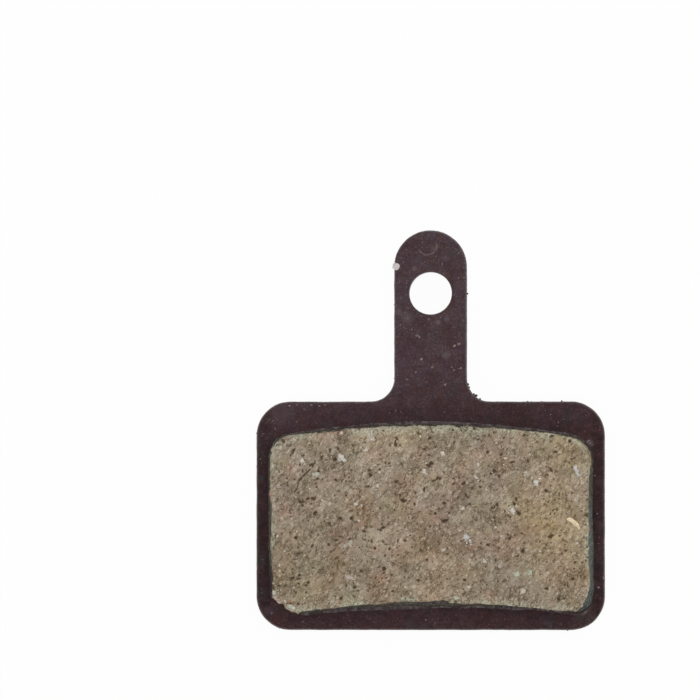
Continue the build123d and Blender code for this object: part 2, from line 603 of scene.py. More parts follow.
def compoundFinish():
    finish = Finish(bpy.data.materials.new("frictionCompound"))
    point = finish.place()
    ground = finish.stretched(finish.turned(point, -compound["grindAngle"]), compound["grindStretch"])
    powder = finish.cloud(ground, 0.13, 2, 0.6)
    crumb = finish.cloud(ground, 0.26, 3, 0.65)
    lumps = finish.cloud(ground, 0.6, 3, 0.6)
    blotch = finish.cloud(point, 3.0, 3, 0.6)
    tinge = finish.cloud(finish.stretched(point, (1, 1, -1)), 3.0, 3, 0.5)
    warmth = finish.cloud(finish.stretched(point, (-1, 1, 1)), 4.0, 3, 0.5)
    grit = finish.cells(finish.bent(ground, 0.25, 0.15), 0.36)
    gritTone, creamy, _ = finish.apart(grit["Color"])
    flakes = finish.cells(finish.bent(ground, 0.4, 0.35), 0.62)
    flakeTone, flakeHue, flakeShare = finish.apart(flakes["Color"])
    flat = finish.fade(flakes["Distance"], 0.6, 0.38) * finish.fade(flakeShare, 0.6, 0.68)
    rough = 1.25 * (powder - 0.5) + 0.75 * (crumb - 0.5) + 0.3 * (gritTone - 0.5)
    rough = rough + 0.4 * (0.4 - grit["Distance"])
    light = 0.5 + rough * (1 - 0.8 * flat) + 0.45 * (lumps - 0.5) + 0.9 * (blotch - 0.5)
    light = 2 * (light + 0.23 * flat * (flakeTone - 0.45))
    colour = finish.mix(compound["umber"], compound["sand"], light)
    colour = finish.mix(colour, compound["cream"], light - 1)
    flakeColour = finish.mix(compound["greyFlake"], compound["buffFlake"], finish.fade(flakeHue, 0.2, 0.6))
    colour = finish.mix(colour, flakeColour, flat * 0.6, "MULTIPLY")
    colour = finish.mix(colour, compound["pink"], finish.fade(tinge, 0.5, 0.72), "MULTIPLY")
    colour = finish.mix(colour, compound["green"], finish.fade(tinge, 0.5, 0.28), "MULTIPLY")
    colour = finish.mix(colour, compound["yellow"], finish.fade(warmth, 0.5, 0.72), "MULTIPLY")
    colour = finish.mix(colour, compound["slate"], finish.fade(warmth, 0.5, 0.28), "MULTIPLY")
    colour = finish.mix(colour, finish.painted("tint")["Color"], 1, "MULTIPLY")
    specks = finish.fade(grit["Distance"] + 0.4 * (powder - 0.5), 0.36, 0.14)
    specks = specks * finish.fade(creamy, 0.74, 0.94)
    colour = finish.mix(colour, compound["speck"], specks * 0.75)
    # small dark dots, dipped by the bump: partly dark compound, partly painted shade in these tiny pits
    dots = finish.fade(grit["Distance"] + 0.5 * (powder - 0.5), 0.36, 0.22)
    dots = dots * finish.fade(creamy, 0.16, 0.06)
    colour = finish.mix(colour, compound["pit"], dots * 0.9)
    flaky = crumb + 0.6 * (powder - 0.5)
    crust = finish.painted("rim")["Fac"] * finish.fade(flaky, 0.4, 0.6) * finish.fade(tinge, 0.64, 0.44)
    crustColour = finish.scaled(compound["crust"][:3], 0.15 + 0.9 * crumb + 0.8 * powder)
    colour = finish.mix(colour, crustColour, crust * 0.85)
    # painted shade: the face is darkened where it was hollowed and where the rim is worn down, by how deep
    # it lies
    relief = finish.painted("relief")["Fac"]
    hollowed = finish.fade(relief + 0.5 * (crumb - 0.5), 0.2, 0.9)
    colour = finish.mix(colour, compound["hollow"], hollowed * 0.7)
    # pits pressed into the face are darkened by how deep they go: partly dark compound, partly painted
    # shade in them
    inPit = finish.fade(finish.painted("pit")["Fac"] + 0.4 * (crumb - 0.5), 0.1, 0.7)
    colour = finish.mix(colour, compound["pit"], inPit * 0.9)
    skinned = finish.fade(finish.painted("skin")["Fac"] + 0.5 * (crumb - 0.5), 0.3, 0.7)
    sideways, lengthways, _ = finish.apart(finish.add("ShaderNodeNewGeometry")["Normal"])
    aside = abs(sideways)
    # painted shade: walls that face along y (top and bottom) are darkened toward the shaded wall colour,
    # walls that face sideways keep the skin colour, and walls facing +y keep a little more of it
    unshadedWall = finish.fade(aside + 0.5 * (blotch - 0.5), 0.2, 0.8) + 0.15 * finish.fade(lengthways, 0.5, 0.9)
    teal = finish.fade(sideways, -0.3, 0.3) * finish.fade(finish.apart(point)[1], *compound["tealFrom"])
    skinColour = finish.mix(compound["mossy"], compound["skin"], teal)
    skinColour = finish.mix(compound["wallShade"], skinColour, unshadedWall * (0.4 + 1.2 * lumps))
    skinColour = finish.mix(skinColour, compound["scale"], finish.fade(flaky, 0.54, 0.7) * 0.55)
    mottled = crumb + 0.75 * powder + (1.5 - 0.9 * aside) * (lumps - 0.5) + 0.12
    colour = finish.mix(colour, finish.scaled(skinColour, mottled), skinned)
    height = powder * 0.5 + crumb - dots
    return finish.surface(
        Base_Color=colour,
        Roughness=compound["roughness"] - 0.3 * skinned,
        Normal=finish.bump(height, 0.05, 0.6),
        Specular_IOR_Level=compound["shine"],
    )


# Friction block

block = {
    "draft": 0.35,  # how far each wall leans in from the foot to the face
    "flash": 0.2,
    "faceHeight": 18.1,
    "archRadius": 94.0,
    "topCorner": 2.0,
    "bottomCorner": 1.5,
    "edgeRound": 0.12,
    "arcSteps": 12,
    "roundSteps": 3,
    "grid": 0.1,
    "bulges": (  # x, y, how far out the wall's foot stands, how wide
        (17.0, -27.5, 0.14, 3.0),
        (-1.0, -32.0, 0.1, 4.0),
        (13.5, -32.6, -0.34, 5.0),
        (8.3, -32.2, -0.2, 3.0),
        (10.0, -13.9, -0.1, 6.0),
        (-16.6, -30.5, -0.34, 2.5),
        (-17.0, -24.0, -0.07, 5.0),
        (17.0, -23.5, -0.08, 1.5),
        (17.0, -30.6, 0.2, 1.6),
        (-15.9, -15.0, 0.24, 1.3),
        (15.9, -32.7, -0.3, 1.2),
    ),
    "dents": (  # x, y, how far in the edge of the face lies, how wide
        (16.6, -22.5, 0.17, 4.0),
        (16.6, -26.8, 0.2, 1.8),
        (12.5, -13.8, -0.08, 2.0),
        (-16.6, -22.0, 0.16, 5.5),
        (-16.6, -30.0, 0.26, 2.0),
        (16.4, -31.6, 0.14, 1.6),
        (16.0, -32.3, 0.5, 1.2),
        (14.5, -33.0, 0.1, 1.2),
        (16.2, -15.6, 0.07, 1.4),
        (-15.8, -15.1, -0.45, 1.3),
        (-9.4, -32.4, -0.1, 1.5),
        (-5.2, -32.0, -0.05, 1.2),
        (-1.1, -31.9, 0.09, 1.2),
        (-2.9, -31.9, 0.26, 1.1),
        (0.7, -31.9, 0.26, 0.9),
        (1.6, -31.9, 0.22, 0.7),
        (3.1, -32.0, -0.07, 1.2),
    ),
    "chips": (  # a point on the break, the way that it faces, and how deep it is notched at that point
        ((-16.28, -31.3, 4.0), (-0.95, -0.31, 0.15), 0),
        ((-15.1, -32.05, 4.0), (-0.64, -0.77, 0.17), 0.34),
        ((-14.42, -32.62, 4.0), (-0.34, -0.94, 0.1), 0),
    ),
    "notchWidth": 0.3,
    "chipRough": ((0.7, 3.3, 0.12), (0.3, 5.1, 0.1)),  # here and below: size, shift and strength of noise
    "wander": ((3.5, 4.7, 0.06), (0.7, 1.3, 0.05)),
    "raggedFace": ((0.3, 2.2, 0.07),),
    "raggedFoot": ((0.4, 3.9, 0.06),),
    "crumble": ((0.55, 8.1, 1), (0.22, 2.9, 0.6)),
    "hollows": ((0.42, 5.5, 1), (0.2, 6.5, 0.7)),
    "tooth": ((0.3, 7.7, 0.012),),
    "patches": ((1.3, 6.6, 1),),
    "patchEdges": ((0.4, 9.9, 0.6),),
    "spotEdges": ((0.5, 4.4, 0.5),),
    "faceDepth": 0.1,  # how far down still counts as the face
    "raggedDepth": 0.8,  # how far down the face's edge is ragged
    "dentDepth": 2.0,
    "wanderBand": 0.3,  # how far in from the outline the walls wander
    "dentBand": 0.9,
    "wornBand": 0.45,
    "rimBand": 0.65,
    "crumbleBias": 0.1,
    "hollowBias": -0.38,
    "wornDrop": 0.3,
    "hollowDrop": 0.14,
    "brokenFrom": 0.03,  # how far a point was moved by the break
    "bareRim": 0.05,  # how far down the walls the skin is gone everywhere
    "bareDepth": 1.5,  # how much further it is gone in patches
    "bareBias": 0.2,
    "bareSpotDepth": 1.3,
    "skinBlend": 0.2,
    "cleanSide": 15.6,  # beyond this x the moulded skin is whole
    "cleanRagged": 0.6,  # how ragged the edges are there
    "cleanBare": 0.35,  # how much of the skin is gone there
    "bareSpots": ((17.0, -16.4, 1.7), (-16.9, -20.9, 0.5)),  # x, y, radius, where the skin is gone
    "wholeSpots": ((-0.9, -31.9, 3.2),),  # where it reaches up to the face
    "brokenTint": (1.35, 1.3, 1.32),
    "tintShare": 0.75,
    "smoothAngle": 180,
}
blockTints = (  # x, y, spread, and the colour that the compound is multiplied by there
    (-4.0, -15.4, 4.2, (1.16, 1.17, 1.14)),
    (12.6, -15.6, 3.6, (1.19, 1.18, 1.08)),
    (2.0, -19.8, 2.0, (1.12, 1.11, 1.1)),
    (12.2, -26.0, 3.4, (1.15, 1.13, 1.06)),
    (6.0, -25.6, 2.4, (0.93, 0.9, 0.9)),
    (-14.0, -29.5, 4.0, (0.89, 0.91, 0.86)),
    (-7.4, -31.0, 3.6, (0.86, 0.88, 0.82)),
    (10.2, -31.0, 2.4, (0.85, 0.85, 0.82)),
    (16.5, -28.0, 4.0, (1.03, 1.02, 0.93)),
    (1.0, -31.0, 5.0, (1.0, 1.0, 0.93)),
    (0.5, -25.5, 4.5, (1.04, 0.98, 0.98)),
    (2.0, -15.6, 5.0, (0.97, 1.01, 1.0)),
    (-10.0, -16.6, 2.6, (0.97, 1.01, 1.0)),
    (-14.5, -16.5, 3.5, (0.99, 1.0, 1.06)),
    (3.2, -21.3, 1.5, (0.93, 0.92, 1.0)),
    (13.6, -24.0, 3.2, (1.05, 1.01, 0.9)),
    (10.5, -23.2, 1.5, (1.12, 1.08, 0.96)),
    (12.3, -24.2, 0.8, (0.86, 0.83, 0.72)),
    (6.3, -28.8, 1.6, (0.93, 0.97, 1.03)),
    (-14.0, -24.0, 5.0, (0.9, 0.9, 0.88)),
    (-13.5, -30.5, 3.0, (0.93, 0.96, 0.88)),
    (-6.8, -16.6, 2.4, (1.12, 1.12, 1.14)),
    (12.5, -22.0, 3.0, (1.13, 1.1, 1.0)),
    (12.5, -30.5, 2.6, (0.92, 0.92, 0.91)),
    (-2.0, -27.0, 2.2, (1.05, 1.05, 1.03)),
    (9.2, -21.0, 1.3, (1.06, 1.02, 0.92)),
    (3.4, -18.0, 0.6, (1.08, 0.98, 0.88)),
    (3.6, -21.7, 0.35, (0.72, 0.84, 0.88)),
    (4.6, -16.6, 0.6, (1.08, 0.93, 0.9)),
    (0.7, -23.2, 0.6, (1.06, 0.92, 0.94)),
    (4.4, -26.3, 0.35, (1.12, 0.88, 0.82)),
    (2.9, -28.2, 0.5, (1.1, 0.92, 0.88)),
    (6.2, -31.3, 0.4, (1.12, 0.88, 0.84)),
    (-9.7, -14.2, 0.4, (1.14, 0.84, 0.8)),
    (-16.35, -20.9, 0.45, (1.2, 0.85, 0.83)),
    (-14.9, -22.5, 0.9, (1.1, 0.9, 0.88)),
    (-14.2, -18.2, 0.6, (1.08, 0.92, 0.9)),
    (-10.9, -18.2, 0.9, (0.92, 0.97, 1.04)),
    (-12.2, -15.5, 0.7, (0.97, 1.03, 0.86)),
    (-15.2, -17.5, 0.6, (1.0, 1.04, 0.88)),
    (-7.0, -23.8, 0.5, (1.1, 0.92, 0.88)),
    (-5.7, -26.4, 0.45, (1.12, 0.9, 0.84)),
    (-5.1, -29.4, 0.7, (1.1, 0.92, 0.88)),
    (-9.9, -24.9, 0.4, (1.06, 0.88, 0.84)),
    (-14.5, -32.0, 0.32, (1.08, 0.66, 0.56)),
    (-9.3, -31.9, 0.3, (1.18, 0.84, 0.78)),
    (15.75, -28.5, 0.4, (0.72, 0.7, 0.58)),
    (15.3, -29.4, 0.3, (0.76, 0.74, 0.62)),
    (15.1, -16.0, 0.4, (0.8, 0.77, 0.62)),
    (-15.95, -31.6, 0.5, (1.4, 1.42, 1.7)),
    (-16.0, -16.2, 0.8, (1.12, 1.17, 1.16)),
    (3.7, -25.2, 0.6, (1.1, 1.14, 1.22)),
    (16.75, -16.2, 0.5, (0.72, 0.7, 0.58)),
    (16.85, -17.4, 0.5, (0.78, 0.76, 0.66)),
)
pits = {
    "placed": (  # x, y, length, width, turn in degrees
        (-13.3, -21.55, 0.6, 0.4, 10),
        (-12.6, -21.2, 0.5, 0.3, 40),
        (-2.75, -21.45, 0.8, 0.45, -15),
        (-4.8, -24.2, 0.65, 0.3, 5),
        (-9.4, -20.45, 0.4, 0.2, 0),
        (-11.1, -19.25, 0.35, 0.22, 90),
        (-11.25, -16.5, 0.35, 0.25, 80),
        (-3.3, -25.6, 0.45, 0.2, 90),
        (-4.8, -28.9, 0.4, 0.18, 5),
        (-9.3, -23.25, 0.5, 0.4, 0),
        (-8.05, -23.25, 0.5, 0.4, 40),
        (-11.3, -24.5, 0.4, 0.3, 60),
        (-3.45, -19.45, 0.45, 0.35, 0),
        (0.4, -19.4, 0.5, 0.32, 20),
        (1.0, -19.15, 0.45, 0.3, 30),
        (0.1, -17.7, 0.7, 0.4, 55),
        (-0.6, -16.15, 0.4, 0.3, 0),
        (-3.55, -15.65, 0.5, 0.35, 90),
        (-9.65, -25.5, 0.7, 0.25, 8),
        (-8.2, -25.4, 0.55, 0.3, -5),
        (-13.45, -29.1, 0.42, 0.3, 0),
        (-12.55, -29.9, 0.5, 0.35, 70),
        (-12.8, -30.15, 0.35, 0.25, 30),
        (-14.2, -29.4, 0.55, 0.3, 30),
        (-13.65, -29.5, 0.4, 0.22, 0),
        (-13.5, -30.0, 0.45, 0.25, -15),
        (-13.75, -30.9, 0.3, 0.22, 40),
        (-12.7, -30.95, 0.25, 0.2, 0),
        (-9.15, -31.5, 0.5, 0.35, 0),
        (-6.45, -20.0, 0.6, 0.3, 10),
        (-12.2, -17.7, 0.7, 0.4, 20),
        (-12.5, -18.35, 0.75, 0.22, 45),
        (-13.03, -18.86, 0.8, 0.22, 45),
        (-13.42, -19.32, 0.7, 0.22, 52),
        (-13.63, -19.84, 0.75, 0.22, 76),
        (-13.84, -20.35, 0.6, 0.2, 60),
        (-13.4, -17.75, 0.36, 0.26, 30),
        (1.55, -23.5, 0.75, 0.5, 15),
        (0.9, -23.9, 0.3, 0.3, 0),
        (6.0, -26.0, 0.5, 0.4, 0),
        (3.6, -29.6, 0.4, 0.3, 0),
        (12.0, -30.45, 0.45, 0.35, 0),
        (14.7, -29.5, 0.4, 0.3, 0),
        (14.0, -26.6, 0.4, 0.3, 0),
        (6.3, -18.6, 0.45, 0.32, 25),
        (5.15, -20.0, 0.4, 0.35, 0),
        (7.1, -18.9, 0.4, 0.25, 70),
        (6.0, -16.4, 0.5, 0.35, 30),
        (12.95, -16.4, 0.55, 0.35, -10),
        (12.5, -25.1, 0.7, 0.4, 20),
        (9.0, -27.05, 0.5, 0.3, 5),
        (2.5, -15.4, 0.7, 0.2, 85),
        (13.8, -31.5, 0.6, 0.25, 25),
    ),
    "clusters": (  # x, y, length, width, turn in degrees, how many small pits
        (-12.8, -21.45, 1.6, 0.6, 12, 13),
        (-2.65, -21.4, 1.0, 0.6, -10, 8),
        (-4.8, -24.1, 1.2, 0.5, 10, 8),
        (-12.15, -17.75, 0.8, 0.5, 30, 5),
        (0.0, -17.8, 0.9, 0.5, 15, 6),
    ),
    "clusterSpread": 0.3,
    "clusterSize": (0.22, 0.4),
    "count": 700,
    "small": 0.18,
    "large": 0.55,
    "full": 0.95,  # how dark and deep a placed pit is
    "deep": 0.45,  # depth as a share of the width
    "seed": 11,
}
low, high = cadCorners("friction_block")
blockFoot, blockFace = low.z, high.z
halfFace = high.x - block["flash"] - block["draft"]
halfHeight = block["faceHeight"] / 2
faceMiddle = high.y - block["flash"] - block["draft"] - halfHeight


def archDrop(x):  # how far the arched edges fall away at x
    return block["archRadius"] - np.sqrt(block["archRadius"] ** 2 - x * x)


def outlineDepth(x, y):  # how far inside the straight block's face outline a point lies, and the way out
    radius = np.where(y > faceMiddle, block["topCorner"], block["bottomCorner"])
    overX = np.abs(x) - (halfFace - radius)
    overY = np.abs(y - faceMiddle) - (halfHeight - radius)
    cornerX, cornerY = np.maximum(overX, 0), np.maximum(overY, 0)
    depth = radius - np.hypot(cornerX, cornerY) - np.minimum(np.maximum(overX, overY), 0)
    straight = (cornerX + cornerY) == 0
    outX = np.where(straight, overX > overY, cornerX) * np.sign(x)
    outY = np.where(straight, overX <= overY, cornerY) * np.sign(y - faceMiddle)
    length = np.hypot(outX, outY) + 1e-9
    return depth, outX / length, outY / length


def makeFrictionBlock():
    grow = block["draft"]
    depth = blockFace - blockFoot
    piece = startPiece(
        "frictionBlock",
        bpy.ops.mesh.primitive_cube_add,
        stretch=(2 * (halfFace + grow), 2 * (halfHeight + grow), depth),
        size=1,
        location=(0, faceMiddle, (blockFoot + blockFace) / 2),
    )
    startEditing()
    pick("EDGE", lambda a, b: min(a.y, b.y) > faceMiddle and abs(a.z - b.z) > depth / 2)
    roundOff(block["topCorner"] + grow, block["arcSteps"], "EDGES")
    pick("EDGE", lambda a, b: max(a.y, b.y) < faceMiddle and abs(a.z - b.z) > depth / 2)
    roundOff(block["bottomCorner"] + grow, block["arcSteps"], "EDGES")
    pick("FACE", lambda *corners: min(c.z for c in corners) > blockFace - tiny)
    shrink = (halfFace / (halfFace + grow), halfHeight / (halfHeight + grow), 1)
    bpy.ops.transform.resize(value=shrink, center_override=(0, faceMiddle, blockFace))
    pick("EDGE", lambda a, b: min(a.z, b.z) > blockFace - tiny)
    roundOff(block["edgeRound"], block["roundSteps"], "EDGES")
    applyModifier(piece, "REMESH", mode="VOXEL", voxel_size=block["grid"])
    startEditing()
    pick("FACE", lambda *corners: max(c.z for c in corners) < blockFoot + block["grid"] / 2)
    bpy.ops.mesh.dissolve_faces()
    stopEditing()
    weatherBlock(piece)
    return piece


def chipAway(points):  # takes off what lies beyond the broken corner
    for place, facing, notch in block["chips"]:
        facing = np.array(Vector(facing).normalized())
        away = points - np.array(place)
        aside = (away @ np.cross(facing, (0, 0, 1))) / block["notchWidth"]
        rough = waves(points, block["chipRough"])
        beyond = np.maximum(away @ facing + rough + notch * np.exp(-aside * aside), 0)
        points = points - beyond[:, None] * facing
    return points


def weatherBlock(piece):
    points = readPoints(piece)
    x, y, z = points.T
    inside, outX, outY = outlineDepth(x, y)
    below = blockFace - z
    onFace = fading(below, block["faceDepth"])
    onCleanSide = x > block["cleanSide"]
    archedY = y - archDrop(x)
    wander = waves(points, block["wander"])
    for bulgeX, bulgeY, amount, spread in block["bulges"]:
        wander += amount * nearness(x, archedY, bulgeX, bulgeY, spread) * np.clip(below, 0, 1)
    dented = np.zeros(len(points))
    for dentX, dentY, amount, spread in block["dents"]:
        dented += amount * nearness(x, archedY, dentX, dentY, spread) * fading(below, block["dentDepth"])
    ragged = np.where(onCleanSide, block["cleanRagged"], 1)
    wander += ragged * waves(points, block["raggedFace"]) * fading(below, block["raggedDepth"])
    wander += ragged * waves(points, block["raggedFoot"]) * np.clip(below / block["dentDepth"], 0, 1)
    outward = wander * fading(inside, block["wanderBand"]) - dented * fading(inside, block["dentBand"])
    x += outX * outward
    y += outY * outward
    crumble = np.clip(waves(points, block["crumble"]) + block["crumbleBias"], 0, 1)
    worn = crumble * fading(inside, block["wornBand"]) * onFace
    hollows = np.clip(waves(points, block["hollows"]) + block["hollowBias"], 0, 1) * onFace
    z -= block["wornDrop"] * worn + block["hollowDrop"] * hollows
    z += onFace * waves(points, block["tooth"])
    y -= archDrop(x)
    whole = np.stack((x, y, z), 1)
    points = chipAway(whole)
    broken = np.linalg.norm(points - whole, axis=1) > block["brokenFrom"]
    pitted = pressPits(points, onFace)
    points[points[:, 2] < blockFoot + block["grid"] / 2, 2] = blockFoot
    writePoints(piece, points)
    bare, gone = bareWalls(points, onCleanSide)
    skin = np.clip((below - bare - block["bareSpotDepth"] * gone) / block["skinBlend"], 0, 1)
    rim = np.clip(1.15 - inside / block["rimBand"], 0, 1) * (below < 0.3 + bare) * (1 - 0.8 * gone)
    paint(piece, "tint", blockTint(points, broken))
    paint(piece, "skin", np.where(broken, 0, skin))
    paint(piece, "rim", rim)
    # how deep each point lies in a hollow or on the worn rim, for the painted shade there
    paint(piece, "relief", np.maximum(hollows, 0.5 * worn))
    paint(piece, "pit", pitted)


def blockTint(points, broken):  # what the compound's colour is multiplied by at each point
    tint = np.ones((len(points), 4))
    for tintX, tintY, spread, colour in blockTints:
        near = nearness(points[:, 0], points[:, 1], tintX, tintY, spread)
        tint[:, :3] *= 1 + block["tintShare"] * near[:, None] * (np.array(colour) - 1)
    tint[broken, :3] *= block["brokenTint"]
    return tint


def bareWalls(points, onCleanSide):  # how far down the skin is gone, and the spots where all of it is
    x, y, _ = points.T
    patches = waves(points * (1, 1, 0), block["patches"]) + waves(points, block["patchEdges"])
    share = np.where(onCleanSide, block["cleanBare"], 1)
    bare = block["bareRim"] + block["bareDepth"] * share * np.clip(patches + block["bareBias"], 0, 1)
    for spotX, spotY, radius in block["wholeSpots"]:
        bare *= np.clip(1.6 * awayFrom(x, y, spotX, spotY, radius) - 0.6, 0.1, 1)
    gone = np.zeros(len(points))
    edges = waves(points, block["spotEdges"])
    for spotX, spotY, radius in block["bareSpots"]:
        gone = np.maximum(gone, np.clip(1.5 - awayFrom(x, y, spotX, spotY, radius) + edges, 0, 1))
    return bare, gone


def pressPits(points, onFace):
    tree = treeFromAbove(points, onFace > 0)
    draw = random.Random(pits["seed"])
    strewn = []
    for _ in range(pits["count"]):
        x = draw.uniform(-halfFace, halfFace)
        y = draw.uniform(-halfHeight, halfHeight) + faceMiddle - archDrop(x)
        length = drawnSize(draw, pits, 3)
        strewn.append((x, y, length, length * draw.uniform(0.45, 0.9), draw.uniform(0, 180)))
    for middleX, middleY, length, width, turn, count in pits["clusters"]:
        for _ in range(count):
            x, y = strayed(draw, middleX, middleY, length, width, turn, pits["clusterSpread"])
            size = draw.uniform(*pits["clusterSize"])
            strewn.append((x, y, size, size * draw.uniform(0.5, 0.9), draw.uniform(0, 180)))
    pitted = np.zeros(len(points))
    for number, (x, y, length, width, turn) in enumerate([*pits["placed"], *strewn]):
        across, along = math.sin(math.radians(turn)), math.cos(math.radians(turn))
        full = pits["full"] if number < len(pits["placed"]) else draw.uniform(0.5, 1)
        for (px, py, _), index, _ in tree.find_range((x, y, 0), length):
            u = ((px - x) * along + (py - y) * across) / (length / 2)
            v = ((py - y) * along - (px - x) * across) / (width / 2)
            ragged = noise.noise(Vector((px, py, x)) / 0.16) + noise.noise(Vector((px, py, y)) / 0.35)
            amount = min(max(0, 1.25 - math.sqrt(u * u + v * v) + 0.5 * ragged), 1) * full
            # how dark the point is painted: partly the pit's dark compound, partly painted shade
            pitted[index] = max(pitted[index], amount)
            points[index, 2] = min(points[index, 2], blockFace - pits["deep"] * width * amount)
    return pitted


# Mineral grains in the compound, ground flush with its face

grains = {
    "placed": (  # x, y, length, width, turn in degrees, colour
        (11.0, -19.65, 0.6, 0.5, 80, "white"),
        (8.45, -22.55, 0.6, 0.5, 20, "white"),
        (3.35, -22.25, 0.4, 0.3, 0, "cream"),
        (3.7, -25.35, 0.75, 0.55, 40, "blue"),
        (4.15, -25.7, 0.5, 0.4, 0, "blue"),
        (3.75, -25.85, 0.3, 0.25, 70, "white"),
        (9.85, -18.6, 0.36, 0.28, 15, "cream"),
        (1.35, -16.6, 0.48, 0.36, 95, "cream"),
        (-0.55, -18.45, 0.5, 0.4, 60, "cream"),
        (5.0, -17.8, 0.5, 0.25, 90, "cream"),
        (4.8, -19.1, 0.75, 0.2, 120, "cream"),
        (15.1, -18.2, 0.75, 0.4, 100, "blue"),
        (15.22, -18.65, 0.75, 0.28, 100, "blue"),
        (8.9, -29.05, 0.55, 0.48, 0, "green"),
        (10.3, -28.9, 0.6, 0.4, 10, "green"),
        (9.6, -30.85, 0.6, 0.45, 60, "cream"),
        (2.75, -31.45, 0.55, 0.35, 0, "green"),
        (5.4, -31.5, 0.6, 0.35, 0, "sand"),
        (-8.2, -25.75, 0.42, 0.34, 0, "green"),
        (-8.75, -26.1, 0.4, 0.3, 0, "green"),
        (5.7, -27.6, 0.55, 0.4, 80, "cream"),
        (7.2, -28.2, 0.33, 0.3, 0, "pink"),
        (1.35, -26.5, 0.4, 0.35, 0, "cream"),
        (6.75, -24.2, 0.22, 0.2, 0, "cream"),
        (14.45, -25.2, 0.22, 0.18, 0, "cream"),
        (-9.15, -17.02, 0.62, 0.56, 60, "white"),
        (-8.87, -17.25, 0.36, 0.3, 60, "white"),
        (-9.35, -17.3, 0.3, 0.24, 0, "blue"),
        (-13.1, -17.4, 0.6, 0.4, 110, "cream"),
        (-11.8, -18.8, 0.7, 0.42, -10, "green"),
        (-6.65, -16.2, 0.45, 0.4, 0, "cream"),
        (-6.0, -14.55, 0.9, 0.14, 92, "blue"),
        (-5.4, -19.9, 0.4, 0.3, 70, "cream"),
        (-7.65, -21.8, 0.4, 0.32, 0, "cream"),
        (-10.35, -21.8, 0.4, 0.3, 30, "pink"),
        (-15.65, -19.9, 0.35, 0.3, 0, "pink"),
        (-8.3, -29.35, 0.95, 0.4, -15, "pink"),
        (-4.55, -31.25, 0.4, 0.3, 0, "pink"),
        (-14.55, -32.4, 0.55, 0.32, -20, "green"),
        (-14.4, -32.68, 0.5, 0.26, -25, "blue"),
        (-14.95, -31.8, 0.34, 0.14, -45, "cream"),
        (-16.05, -30.95, 0.4, 0.3, 70, "green"),
        (-15.7, -30.7, 0.7, 0.28, 40, "green"),
        (-8.35, -25.95, 0.35, 0.3, 0, "pink"),
        (-9.15, -14.5, 0.35, 0.25, 0, "cream"),
        (-16.2, -17.1, 0.45, 0.22, 95, "sand"),
        (-16.2, -17.9, 0.4, 0.2, 85, "cream"),
        (-15.4, -16.0, 0.38, 0.26, 50, "green"),
        (-15.85, -16.4, 0.32, 0.22, 60, "sand"),
        (-15.0, -15.75, 0.34, 0.24, 40, "sand"),
        (16.3, -30.2, 0.24, 0.16, 95, "sand"),
        (16.05, -31.3, 0.2, 0.16, 70, "green"),
        (15.7, -32.3, 0.26, 0.18, 45, "green"),
        (15.1, -32.8, 0.24, 0.16, 20, "sand"),
        (-5.98, -15.1, 0.36, 0.32, 0, "white"),
    ),
    "colours": {
        "white": srgb(222, 216, 207),
        "cream": srgb(208, 199, 184),
        "blue": srgb(202, 199, 194),
        "green": srgb(187, 188, 170),
        "pink": srgb(190, 174, 162),
        "sand": srgb(172, 160, 138),
    },
    "scattered": {"cream": 130, "sand": 80, "green": 20, "pink": 40, "white": 8},
    "small": 0.1,
    "large": 0.32,
    "seed": 23,
    "fullness": 1.12,  # size of a placed grain's main body, as a share of its listed size
    "bits": 3,  # smaller bits that lie about each placed grain
    "bitSize": (0.25, 0.55),  # their length as a share of its width
    "bitWidth": 0.7,  # their width as a share of their length
    "shapes": 4,  # different grains that are modelled
    "groundOff": 0.3,  # height of the flat that the grinding leaves, as a share of the radius
    "cutUnder": -0.4,  # the same for the flat underneath
    "proud": 0.012,
    "bitSpread": 0.4,
    "edgeMargin": 0.3,  # how far in from the face's edges the scattered ones begin
    "faceDepth": 0.4,  # how far below the face the bed of a grain may lie
    "topDrop": 0.06,
    "thick": 0.35,  # as a share of the width
    "radius": 0.65,  # as a share of the length and the width
    "tilt": 0.15,
    "shade": (0.85, 1.06),
    "moves": 12,
    "smoothAngle": 40,
}


def mineralFinish():
    finish = Finish(bpy.data.materials.new("mineralGrain"))
    point = finish.place()
    mottle = finish.cloud(point, 0.14, 3, 0.6)
    core = finish.fade(finish.painted("core")["Fac"] + 0.8 * (mottle - 0.5), 0.0, 0.9, 0.3, 1)
    colour = finish.mix(compound["sand"], finish.painted("hue")["Color"], core)
    return finish.surface(
        Base_Color=finish.scaled(colour, 0.75 + 0.5 * mottle),
        Roughness=0.5 + 0.3 * finish.cloud(point, 0.2, 2, 0.5),
        Normal=finish.bump(mottle, 0.03, 0.5),
        Specular_IOR_Level=0.25,
    )


def grainShapes():  # a few broken grains, each with its top ground flat
    shapes = []
    for number in range(grains["shapes"]):
        shape = startPiece("grainShape", bpy.ops.mesh.primitive_ico_sphere_add, subdivisions=2, radius=1)
        startEditing()
        pickAll()
        bpy.ops.transform.vertex_random(offset=0.35, uniform=0.6, normal=0.2, seed=grains["seed"] + number)
        for height, facing in ((grains["cutUnder"], -1), (grains["groundOff"], 1)):
            pickAll()
            cut = {"plane_co": (0, 0, height), "plane_no": (0, 0, facing)}
            bpy.ops.mesh.bisect(**cut, use_fill=True, clear_outer=True)
        pick("FACE", lambda *corners: min(c.z for c in corners) > grains["groundOff"] - tiny)
        bpy.ops.mesh.inset(thickness=0.3)
        stopEditing()
        paint(shape, "core", [1.0 if vertex.select else 0.0 for vertex in shape.data.vertices])
        shapes.append(shape)
    return shapes


